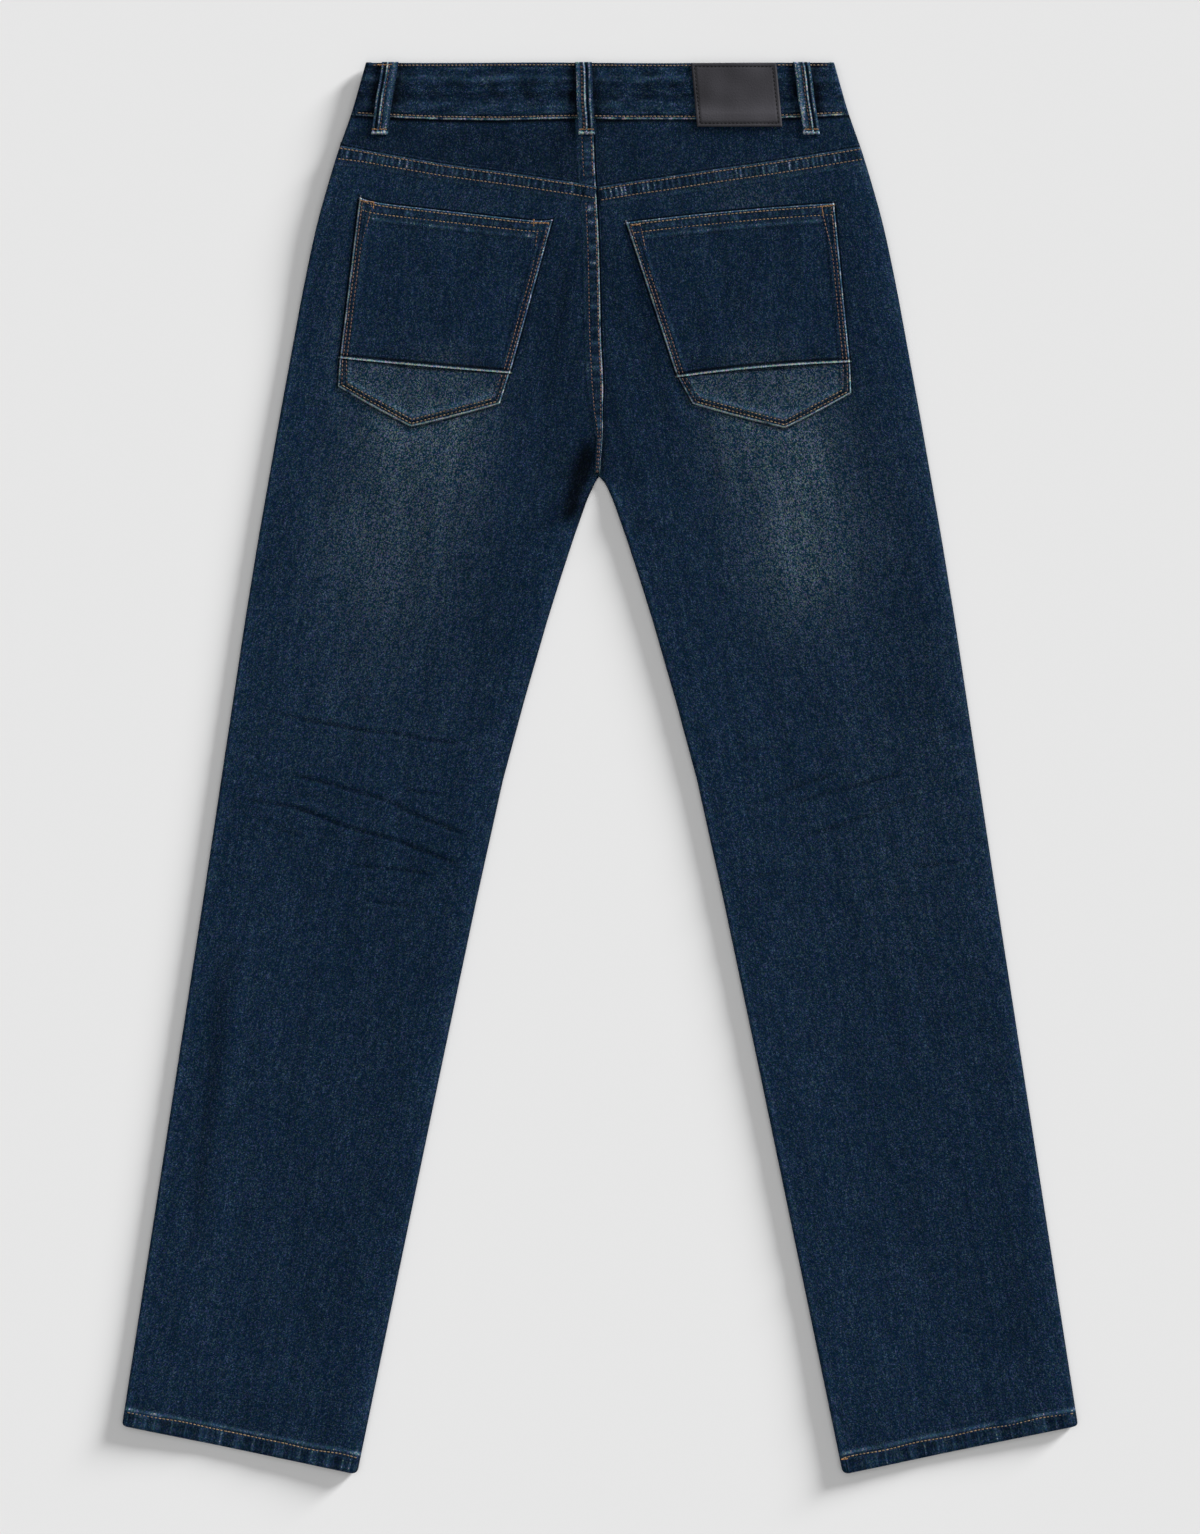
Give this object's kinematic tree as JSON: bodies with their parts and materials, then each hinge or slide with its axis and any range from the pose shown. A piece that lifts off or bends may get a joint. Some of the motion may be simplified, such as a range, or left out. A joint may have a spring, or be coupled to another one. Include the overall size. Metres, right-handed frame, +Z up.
{
  "type": "straight leg jeans",
  "caption": "Straight leg denim jeans laid flat on their front: back legs, yokes, patch pockets with pointed toes, waistband with belt loops, bare leather patch.",
  "frame": {"origin": "on the surface that the jeans lie on, under the middle of their length and width", "axes": "+Z up out of the back of the jeans, +Y from the hems to the waist, +X towards the wearer's right"},
  "size_m": [0.7648, 1.128, 0.011],
  "materials": {
    "denim": "dark indigo washed denim twill with worn seam edges",
    "leather": "matt charcoal leather with a fine grain",
    "thread": "rust brown topstitching thread",
    "button_metal": "aged brass shank button"
  },
  "bodies": {
    "root": {"back_leg_left": "denim", "back_leg_right": "denim", "yoke_left": "denim", "yoke_right": "denim", "back_pocket_left": "denim", "back_pocket_right": "denim", "pocket_toe_left": "denim", "pocket_toe_right": "denim", "waistband": "denim", "belt_loop_back_left": "denim", "belt_loop_back_centre": "denim", "belt_loop_back_right": "denim", "belt_loop_front_left": "denim", "belt_loop_front_right": "denim", "front_leg_left": "denim", "front_leg_right": "denim", "front_pocket_facing_left": "denim", "front_pocket_facing_right": "denim", "leather_patch": "leather", "waist_button": "button_metal"}
  },
  "joints": []
}
